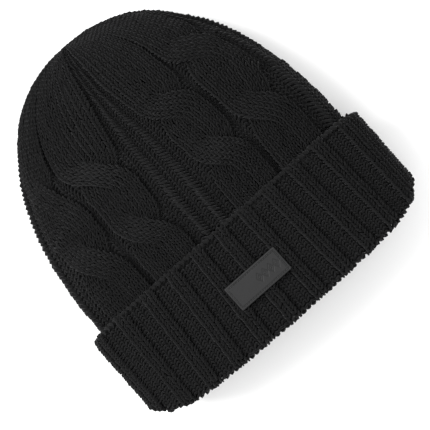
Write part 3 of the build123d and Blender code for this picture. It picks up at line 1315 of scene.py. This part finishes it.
def cuff_path(form: HatForm, inset: float = 2.4 * MM, flatter: float = 1.5 * MM, fold_radius: float = 2.3 * MM,
              proud: float = 3.0 * MM) -> Callable[[float], tuple[float, ...]]:
    """Path of the cuff's cloth: from its top edge down the outside and round the bottom fold."""
    top = form.cuff_top_y - 0.8 * MM
    turn_y = form.fold_y + proud + fold_radius
    straight = top - turn_y
    arc = math.pi * fold_radius
    total = straight + arc + 1.5 * MM

    def path(share: float) -> tuple[float, ...]:
        """Section of the cuff's cloth."""
        run = share * total
        angle = min(max((run - straight) / fold_radius, 0.0), math.pi)
        y = top - run if run < straight else turn_y - fold_radius * math.sin(angle) + max(run - straight - arc, 0.0)
        depth = inset + fold_radius * (1 - math.cos(angle))
        return y, form.cuff_a - depth, form.cuff_b - depth - flatter, form.axis_z

    return path


def sleeve_path(form: HatForm, inset: float = 3.1 * MM, flatter: float = 0.8 * MM,
                joined: float = 2.9 * MM) -> Callable[[float], tuple[float, ...]]:
    """Path of the knit under the cuff, from its lower edge up into the crown, whose backing it meets."""
    start = form.fold_y + 5.6 * MM
    end = form.cuff_top_y - 2.5 * MM

    def path(share: float) -> tuple[float, ...]:
        """Section of the knit under the cuff."""
        joining = float(ease((share - 0.8) / 0.15))
        wide = form.knit_a - (form.knit_a - form.crown_a) * joining
        deep = inset + (joined - inset) * joining
        return start + (end - start) * share, wide - deep, form.knit_b - deep - flatter * (1 - joining), form.axis_z

    return path


@dataclass
class TurningLayer:
    """The knit between the layer under the cuff and the cuff's fold, which are one cloth.

    Attributes:
        upper: how far above the fold it begins.
        lower: how far above the fold it meets the fold's inner side.
        bend_from: not used.
        bend_to: not used.
        under: depth under the knit's outer surface, in front and behind.
        side_under: the same at the two sides.
        meets: how far its lower end comes out to the fold, in front and behind.
        side_meets: the same at the two sides.
        corner: how far its lower end draws up at the two sides.
        wall: its thickness.
    """

    shop: Workshop
    upper: float = 31.5 * MM
    lower: float = 5.9 * MM
    bend_from: float = 29.5 * MM
    bend_to: float = 17.5 * MM
    under: float = 3.6 * MM
    side_under: float = 2.9 * MM
    meets: float = 1.5 * MM
    side_meets: float = 2.2 * MM
    corner: float = 8.6 * MM
    wall: float = 0.6 * MM

    def build(self) -> None:
        """Makes the layer."""
        form = self.shop.form
        top, bottom = form.fold_y + self.upper, form.fold_y + self.lower

        def path(share: float) -> tuple[float, ...]:
            """Section of the layer, from its upper end down."""
            out = float(ease((share - 0.6) / 0.4))
            return (top + (bottom - top) * share, form.knit_a - self.side_under + self.side_meets * out,
                    form.knit_b - self.under + self.meets * out, form.axis_z)

        cloth = Cloth(tube_ring(path), corner=self.corner, inward=True)
        layer = self.shop.shell("sleeve_turning_layer", cloth, lambda u, v: np.zeros_like(u),
                                lambda v: np.full_like(v, self.wall), False, 200, 48)
        layer.data.materials.append(self.shop.finishes.backing)
        form.fold_y + self.bend_from
        form.fold_y + self.bend_to
        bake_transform(layer)
        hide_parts("knit_body")
        LOG.info("%s: %d faces between hat and turned_cuff", layer.name, len(layer.data.polygons))


# ---------------------------------------------------------------- trim

def edge_chain(shop: Workshop, tube: RibTube, count: int = 116, proud: float = 1.0 * MM, thick: float = 2.0 * MM,
               deep: float = 1.7 * MM) -> bpy.types.Object:
    """The cast-on edge along the cuff's top: one chain of loops that lie over the edge.

    Args:
        shop: makes the stitches.
        tube: the cuff.
        count: loops round the edge.
        proud: how far the chain stands out from the cloth, which keeps it clear of the knit under the cuff.
        thick: the loops' size through the cloth.
        deep: the loops' size along the hat.

    Returns:
        The chain.
    """
    u = np.linspace(-0.5, 0.5, count, endpoint=False)
    rim, normal = tube.cloth.at(u, np.zeros_like(u), proud)
    below, _ = tube.cloth.at(u, np.full_like(u, 0.02), proud)
    out = unit(unit(rim - below) + 0.15 * normal)
    side = unit(np.roll(rim, -1, axis=0) - np.roll(rim, 1, axis=0))
    side = unit(side - out * (side * out).sum(axis=1, keepdims=True))
    rim = rim + out * 0.1 * MM
    rim[:, 2] = at_least(rim[:, 2], shop.lowest, 0.8 * MM)
    step = np.linalg.norm(np.roll(rim, -1, axis=0) - rim, axis=1)
    made = StitchField(StitchKind.TWISTED)
    made.add(rim, side, out, np.stack([step * 1.15, np.full(count, thick), np.full(count, deep)], axis=1))
    return shop.lay("cuff_cast_on_edge", made, "turned_cuff", "cuff", 401)


@dataclass
class FleeceBand:
    """The fleece headband: a tube with rolled edges, and a row of stitches sunk into each.

    Attributes:
        wall: thickness of the fleece.
        clear: distance kept from the knit round it.
        sunk: depth of the stitched lines.
    """

    shop: Workshop
    wall: float = 1.9 * MM
    clear: float = 0.5 * MM
    sunk: float = 0.55 * MM
    stitches: int = 82

    def __post_init__(self) -> None:
        """Lays out the fleece from its node's box."""
        low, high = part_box("fleece_band")
        a, b = (high[0] - low[0]) / 2 - self.clear, (high[2] - low[2]) / 2 - self.clear
        middle = (low[2] + high[2]) / 2
        self.height = high[1] - low[1]

        def path(share: float) -> tuple[float, ...]:
            """Section of the fleece."""
            return low[1] + self.height * share, a, b, middle

        self.cloth = Cloth(tube_ring(path), sag=0.2 * MM)
        self.lines = {}
        for node in ("band_stitches_lower", "band_stitches_upper"):
            edge_low, edge_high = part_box(node)
            self.lines[node] = ((edge_low[1] + edge_high[1]) / 2 - low[1]) / self.height

    def thickness(self, v: np.ndarray) -> np.ndarray:
        """The wall at shares along, with round edges and sunk stitch lines."""
        edge = np.minimum(v, 1 - v) * self.height
        made = self.wall * np.clip(1 - (1 - np.clip(edge / (1.2 * MM), 0, 1)) ** 2, 0.25, 1.0)
        for line in self.lines.values():
            made = made - self.sunk * np.exp(-((v - line) * self.height / (0.9 * MM)) ** 2)
        return made

    def build(self) -> None:
        """Makes the band and its stitches."""
        def flush(u: np.ndarray, v: np.ndarray) -> np.ndarray:
            """The outer face, with the long soft waves of lying fleece."""
            return -0.12 * MM * (1 + np.sin(u * 2 * math.pi * 9 + v * 5))

        band = self.shop.shell("fleece_band_lining", self.cloth, flush, self.thickness, False, 180, 72)
        self.shop.settle(band, "hat", "fleece_band", "fleece", self.shop.finishes.fleece)
        rng = np.random.default_rng(301)
        for order, (node, line) in enumerate(self.lines.items()):
            u = np.linspace(-0.5, 0.5, self.stitches, endpoint=False)
            v = np.full_like(u, line)
            height = np.full_like(u, -0.1 * MM) - self.thickness(v) - 0.1 * MM
            place, normal = self.cloth.at(u, v, height)
            ahead, _ = self.cloth.at(u + 0.002, v, height)
            place = place + rng.normal(0, 0.08 * MM, place.shape)
            side = unit(ahead - place)
            made = StitchField(StitchKind.THREAD)
            made.add(place, side, unit(-normal - side * (-normal * side).sum(axis=1, keepdims=True)),
                     np.tile([3.2 * MM, 0.85 * MM, 0.8 * MM], (len(u), 1)))
            self.shop.lay(f"{node}_thread", made, "hat", node, 310 + order, "thread")
        girth = float(self.cloth.girth(np.array([0.5]))[0])


@dataclass
class LabelPatch:
    """The label on the cuff: a curved, rounded plate with a pressed border line, a row of pressed lozenges as a
    plain argyle sign, and its stitches."""

    shop: Workshop
    corner: float = 0.8 * MM
    border: float = 1.7 * MM
    groove: float = 0.28 * MM
    lozenges: int = 4
    lozenge: tuple[float, float] = (2.1 * MM, 3.2 * MM)
    lozenge_pitch: float = 4.7 * MM
    first_lozenge: float = 1.6 * MM
    columns: int = 150
    rows: int = 68

    def build(self) -> None:
        """Makes the plate and its stitches."""
        low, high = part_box("label_patch")
        form = self.shop.form
        half_w, half_h = (high[0] - low[0]) / 2, (high[1] - low[1]) / 2
        mid_x, mid_y = (low[0] + high[0]) / 2, (low[1] + high[1]) / 2
        eta = np.linspace(-1, 1, self.rows)[:, None] * np.ones((1, self.columns))
        xi = np.linspace(-1, 1, self.columns)[None] * np.ones((self.rows, 1))
        y = eta * half_h
        beyond = np.clip(np.abs(y) - (half_h - self.corner), 0, self.corner)
        reach = half_w - (self.corner - np.sqrt(np.clip(self.corner ** 2 - beyond ** 2, 0, None)))
        x = xi * reach
        edge = np.minimum(reach - np.abs(x), half_h - np.abs(y))
        rounded = 1 - np.clip(edge / (0.7 * MM), 0, 1)
        thickness = 1.4 * MM - 0.7 * MM * rounded ** 2.2
        thickness -= self.groove * np.exp(-((edge - self.border) / (0.42 * MM)) ** 2)
        sunk = self.pressed(x, y)
        thickness -= 0.34 * MM * sunk
        thickness += 0.12 * MM * np.sin(x * 260 + 1.0) * ease(edge / (3 * MM))
        world_x = x + mid_x
        slope = world_x / form.cuff_a
        base = form.axis_z + form.cuff_b * np.sqrt(1 - slope ** 2)
        lean = form.cuff_b * slope / (form.cuff_a * np.sqrt(1 - slope ** 2))
        normal = unit(np.stack([lean, np.zeros_like(x), np.ones_like(x)], axis=-1))
        ground = np.stack([world_x, y + mid_y, base], axis=-1)
        plate = solid_patch("label_plate", ground + normal * thickness[..., None], ground - normal * 0.35 * MM)
        # Painted highlight: paler on the rounded rim of the top face and over the whole underside.
        rubbed = plate.data.attributes.new("rubbed", "FLOAT", "POINT")
        painted_highlight_values = np.concatenate([(rounded ** 2).ravel(), np.ones(rounded.size)])
        rubbed.data.foreach_set("value", painted_highlight_values)
        # Painted shade: a mask that darkens the sunk lozenges and the border groove.
        pressed = plate.data.attributes.new("pressed", "FLOAT", "POINT")
        groove_shade = np.maximum(sunk, 0.6 * np.exp(-((edge - self.border) / (0.42 * MM)) ** 2))
        pressed.data.foreach_set("value", np.concatenate([groove_shade.ravel(), np.zeros(groove_shade.size)]))
        self.shop.settle(plate, "turned_cuff", "label_patch", "label", self.shop.finishes.label)
        self.sew(mid_x, mid_y, half_w - self.border, half_h - self.border)

    def pressed(self, x: np.ndarray, y: np.ndarray) -> np.ndarray:
        """Depth, from 0 to 1, of the row of lozenge outlines in the plate's right half."""
        made = np.zeros_like(x)
        wide, tall = self.lozenge
        for index in range(self.lozenges):
            middle = self.first_lozenge + index * self.lozenge_pitch
            for size in (1.0, 0.42):
                away = (np.abs(x - middle) / wide + np.abs(y) / tall - size) * wide * tall / math.hypot(wide, tall)
                made = np.maximum(made, np.exp(-(away / (0.3 * MM)) ** 2))
        return made

    def sew(self, mid_x: float, mid_y: float, half_w: float, half_h: float) -> None:
        """Sews the plate on, with one row of stitches in the border line."""
        form = self.shop.form
        spots = []
        for across, count in ((True, 20), (False, 8)):
            for index in range(count):
                share = 2 * (index + 0.5) / count - 1
                for edge in (-1, 1):
                    spot = (share * half_w, edge * half_h) if across else (edge * half_w, share * half_h)
                    spots.append((*spot, across))
        places, sides, outs = [], [], []
        for x, y, across in spots:
            slope = (x + mid_x) / form.cuff_a
            rise = math.sqrt(1 - slope ** 2)
            out = Vector((form.cuff_b * slope / (form.cuff_a * rise), 0, 1)).normalized()
            ground = Vector((x + mid_x, y + mid_y, form.axis_z + form.cuff_b * rise)) + out * 1.25 * MM
            side = Vector((0, 1, 0)).cross(out) if across else Vector((0, 1, 0))
            places.append(ground)
            sides.append(side)
            outs.append(out)
        made = StitchField(StitchKind.THREAD)
        made.add(np.array(places), np.array(sides), np.array(outs),
                 np.tile([1.75 * MM, 0.6 * MM, 0.6 * MM], (len(places), 1)))
        self.shop.lay("label_thread", made, "turned_cuff", "label_stitches", 331, "thread")


@dataclass
class CareLabel:
    """The blank care label: a loop of woven tape, and the sewn end that holds it to the fleece."""

    shop: Workshop
    tape: float = 0.42 * MM
    tab_length: float = 4.6 * MM
    across: int = 30

    def build(self) -> None:
        """Makes the loop, its sewn end and the stitches over that."""
        low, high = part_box("care_label")
        middle = (low[2] + high[2]) / 2
        half = (high[2] - low[2]) / 2 - self.tape / 2 - 0.05 * MM
        start, bend = low[1] + 0.3 * MM, high[1] - half - self.tape / 2
        run = np.linspace(0, 1, 24)
        arc = np.linspace(math.pi / 2, -math.pi / 2, 13)[1:-1]
        pinched = half * (0.35 + 0.65 * ease(run / 0.35))
        upper = np.stack([start + (bend - start) * run, middle + pinched], axis=1)
        fold = np.stack([bend + half * np.cos(arc), middle + half * np.sin(arc)], axis=1)
        lower = np.stack([start + (bend - start) * run, middle - pinched], axis=1)[::-1]
        loop = self.strip("care_label_tape", np.concatenate([upper, fold, lower]), low[0], high[0], 0.12 * MM)
        self.shop.settle(loop, "care_flap", "care_label", "woven_tape", self.shop.finishes.tape)
        tab_z = low[2] - 0.12 * MM
        line = np.stack([np.linspace(low[1] - self.tab_length, low[1] - 0.2 * MM, 14), np.full(14, tab_z)], axis=1)
        tab = self.strip("care_label_tab", line, low[0], high[0], 0.05 * MM)
        self.shop.settle(tab, "hat", "care_label_stitches", "woven_tape", self.shop.finishes.tape)
        sewn_low, sewn_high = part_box("care_label_stitches")
        x = np.linspace(low[0] + 1.6 * MM, high[0] - 1.6 * MM, 11)
        count = len(x)
        made = StitchField(StitchKind.THREAD)
        sewn_y = (sewn_low[1] + sewn_high[1]) / 2
        place = np.stack([x, np.full(count, sewn_y), np.full(count, tab_z + 0.45 * MM)], axis=1)
        made.add(place, np.tile([1.0, 0, 0], (count, 1)), np.tile([0, 0, 1.0], (count, 1)),
                 np.tile([2.5 * MM, 0.7 * MM, 0.65 * MM], (count, 1)))
        self.shop.lay("care_label_thread", made, "hat", "care_label_stitches", 341, "thread")

    def strip(self, name: str, line: np.ndarray, left: float, right: float, wave: float) -> bpy.types.Object:
        """A strip of tape along a line in the YZ plane.

        Args:
            name: the piece's name.
            line: its middle, as Y and Z.
            left: X of its left edge.
            right: X of its right edge.
            wave: height of its soft unevenness.

        Returns:
            The strip.
        """
        ahead = unit(np.gradient(line, axis=0))
        normal = np.stack([-ahead[:, 1], ahead[:, 0]], axis=1)
        x = np.linspace(left, right, self.across)
        grid_x = np.tile(x, (len(line), 1))
        lift = wave * np.sin((x - left) / (right - left) * 7.0 + 0.6)[None] * np.ones((len(line), 1))
        faces = []
        for half in (0.5, -0.5):
            y = line[:, :1] + normal[:, :1] * self.tape * half + 0 * grid_x
            z = line[:, 1:] + normal[:, 1:] * self.tape * half + lift
            faces.append(np.stack([grid_x, y, z], axis=-1))
        return solid_patch(name, faces[0], faces[1])


@dataclass
class InnerTrim:
    """What shows inside the crown and at the fold: the back seam, the gathering yarn and the yarn's short end."""

    shop: Workshop
    crown: CableCrown
    seam_depth: float = 1.75 * MM
    seam_rows: int = 58

    def build(self) -> None:
        """Makes the three."""
        self.seam()
        self.gather()
        self.end()

    def seam(self) -> None:
        """The seam: a flat core, and overcast stitches on it."""
        low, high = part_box("back_seam")
        cloth = self.crown.cloth
        v = np.linspace(0.05, 0.84, self.seam_rows)
        across = np.linspace(-1, 1, 7)
        half = (high[0] - low[0]) / 2 - 0.35 * MM
        breadth = np.linalg.norm(cloth.row(np.full_like(v, 0.5), v), axis=-1)
        u = 0.5 + across[None] * half / breadth[:, None]
        rows = np.tile(v[:, None], (1, len(across)))
        upper, _ = cloth.at(u, rows, -self.seam_depth)
        lower, _ = cloth.at(u, rows, -self.seam_depth - 0.9 * MM * (1 - 0.5 * across[None] ** 2))
        core = solid_patch("back_seam_core", upper, lower)
        self.shop.settle(core, "hat", "back_seam", "knit_yarn", self.shop.finishes.backing)
        rng = np.random.default_rng(351)
        made = StitchField(StitchKind.TWISTED)
        for step in (-1.15, 1.15):
            place = 0.5 + step * MM / breadth
            height = np.full((1, len(v)), -self.seam_depth - 0.7 * MM)
            made.add(*self.shop.stitch_frames(cloth, place[None], v[None], height,
                                              (2.3 * MM / breadth)[None], False, rng, -1.0))
        self.shop.lay("back_seam_overcast", made, "hat", "back_seam", 352)

    def gather(self) -> None:
        """The ring of yarn that draws the tip closed, lying in uneven turns."""
        low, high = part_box("gather_yarn")
        middle = (np.array(low) + np.array(high)) / 2
        thick = (high[1] - low[1]) / 2
        ring = (high[0] - low[0]) / 2 - thick
        turn = np.linspace(0, 2 * math.pi, 61)[:-1]
        line = np.stack([middle[0] + ring * np.cos(turn), middle[1] + 0.15 * MM * np.sin(3 * turn),
                         middle[2] + ring * np.sin(turn)], axis=1)
        self.rope("gather_yarn_ring", line, thick * 0.96, True, "hat", "gather_yarn")

    def end(self) -> None:
        """The yarn's short end, worn thin at its tip."""
        low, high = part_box("yarn_end")
        share = np.linspace(0, 1, 12)
        thick = (high[0] - low[0]) / 2
        line = np.stack([(low[0] + high[0]) / 2 + 0.25 * MM * np.sin(3 * share),
                         high[1] - 0.1 * MM - (high[1] - low[1] + 1.2 * MM) * share,
                         (low[2] + high[2]) / 2 - 0.3 * MM * share ** 2], axis=1)
        self.rope("yarn_end_tuft", line, thick * 0.9, False, "turned_cuff", "yarn_end")

    def rope(self, name: str, line: np.ndarray, radius: float, ring: bool, body: str, node: str,
             sides: int = 18) -> None:
        """A length of three-ply yarn along a line.

        Args:
            name: the piece's name.
            line: its middle.
            radius: its half thickness.
            ring: whether its ends meet.
            body: the body that it rides on.
            node: the node that it stands for.
            sides: number of sides.
        """
        ahead = np.roll(line, -1, axis=0) - np.roll(line, 1, axis=0) if ring else np.gradient(line, axis=0)
        ahead = unit(ahead)
        fixed = np.array([0.0, 1.0, 0.0]) if ring else np.array([0.0, 0.0, 1.0])
        side = unit(np.cross(ahead, fixed))
        lift = np.cross(side, ahead)
        count = len(line)
        verts, faces, corners = [], [], []
        for index in range(count):
            turn = 2 * math.pi * np.arange(sides) / sides
            twist = 2 * math.pi * index / count * (8 if ring else 1)
            taper = 1.0 if ring else 1 - 0.55 * (index / count) ** 2
            size = radius * taper * (0.9 + 0.1 * np.cos(3 * turn + twist))
            verts += list(line[index] + side[index] * (np.cos(turn) * size)[:, None]
                          + lift[index] * (np.sin(turn) * size)[:, None])
        for index in range(count if ring else count - 1):
            near, far = index * sides, (index + 1) % count * sides
            for k in range(sides):
                after = (k + 1) % sides
                faces.append((near + k, far + k, far + after, near + after))
                corners.append(((k / sides, index / 6), (k / sides, (index + 1) / 6),
                                ((k + 1) / sides, (index + 1) / 6), ((k + 1) / sides, index / 6)))
        if not ring:
            for first in (0, (count - 1) * sides):
                faces.append(tuple(first + k for k in range(sides)))
                corners.append(tuple((k / sides, 0.0) for k in range(sides)))
        obj = mesh_object(name, verts, faces)
        layer = obj.data.uv_layers.new(name="yarn_uv")
        layer.data.foreach_set("uv", np.array([c for face in corners for c in face], dtype=float).ravel())
        turn_outward(obj)
        self.shop.settle(obj, body, node, "knit_yarn", self.shop.finishes.yarn)


# ---------------------------------------------------------------- studio

@dataclass(frozen=True)
class Lamp:
    """A square lamp: its place, the length of its sides and its power."""

    name: str
    place: tuple[float, float, float]
    size: float
    power: float


@dataclass(frozen=True)
class Studio:
    """White floor, soft light and the camera nearly overhead."""

    roll: float = 41.5
    tilt: float = 2.5
    distance: float = 1.25
    lens: float = 159.5
    target: tuple[float, float, float] = (0.0005, -0.0325, 0.028)
    room_light: float = 1.08
    lamps: tuple[Lamp, ...] = (Lamp("key", (-1.0, 0.95, 1.1), 0.85, 40.0), Lamp("fill", (0.9, -0.5, 1.6), 1.6, 9.0))

    def floor(self) -> None:
        """A pale floor."""
        side = 3.0
        obj = mesh_object("studio_floor", [(-side, -side, 0), (side, -side, 0), (side, side, 0), (-side, side, 0)],
                          [(0, 1, 2, 3)], smooth=False)
        g = Graph("floor_white")
        obj.data.materials.append(g.surface(Base_Color=(0.92, 0.92, 0.92, 1.0), Roughness=0.9))

    def lights(self) -> None:
        """A bright even room and a large soft light from the crown's side."""
        world = bpy.data.worlds.new("studio_air")
        world.use_nodes = True
        world.node_tree.nodes["Background"].inputs[0].default_value = (1.0, 1.0, 1.0, 1.0)
        world.node_tree.nodes["Background"].inputs[1].default_value = self.room_light
        bpy.context.scene.world = world
        for lamp in self.lamps:
            data = bpy.data.lights.new(lamp.name, "AREA")
            data.size = lamp.size
            data.energy = lamp.power
            obj = bpy.data.objects.new(lamp.name, data)
            obj.location = lamp.place
            aim = Vector(self.target) - Vector(lamp.place)
            obj.rotation_euler = aim.to_track_quat("-Z", "Y").to_euler()
            bpy.context.scene.collection.objects.link(obj)

    def camera(self) -> None:
        """The camera, rolled so that the crown points up and to the left."""
        data = bpy.data.cameras.new("camera")
        data.lens = self.lens
        obj = bpy.data.objects.new("camera", data)
        tilt, roll = math.radians(self.tilt), math.radians(self.roll)
        back = Vector((0.0, math.sin(tilt), math.cos(tilt)))
        right = Vector((1.0, 0.0, 0.0))
        up = back.cross(right)
        rolled_up = up * math.cos(roll) + right * math.sin(roll)
        rolled_right = right * math.cos(roll) - up * math.sin(roll)
        turn = Matrix((rolled_right, rolled_up, back)).transposed().to_4x4()
        obj.matrix_world = Matrix.Translation(Vector(self.target) + back * self.distance) @ turn
        bpy.context.scene.collection.objects.link(obj)
        bpy.context.scene.camera = obj

    def build(self) -> None:
        """Sets up the studio."""
        self.floor()
        self.lights()
        self.camera()
        bpy.context.scene.view_settings.view_transform = "Standard"


def main() -> None:
    """Builds the hat, part by part."""
    logging.basicConfig(level=logging.INFO, format="%(message)s")
    form = HatForm.from_frame()
    loops = {kind: shape.build(kind) for kind, shape in LOOP_SHAPES.items()}
    shop = Workshop(form, loops, StitchGraph(), Finishes.build())
    crown = CableCrown(shop)
    crown.backing()
    crown.lay()
    cuff = RibTube(shop, "cuff", "cuff", "turned_cuff", cuff_path(form), 36, True, bow=form.bow, corner=13.0 * MM,
                   fan=0.15, top_dip=1.4 * MM)
    cuff.backing(1.2 * MM)
    cuff.lay()
    edge_chain(shop, cuff)
    sleeve = RibTube(shop, "sleeve", "knit_body", "hat", sleeve_path(form), 26, False, seed=201)
    sleeve.backing(0.8 * MM)
    sleeve.lay()
    TurningLayer(shop).build()
    FleeceBand(shop).build()
    LabelPatch(shop).build()
    CareLabel(shop).build()
    InnerTrim(shop, crown).build()
    for loop in loops.values():
        bpy.data.objects.remove(loop)
    Studio().build()


if __name__ == "__main__":
    main()
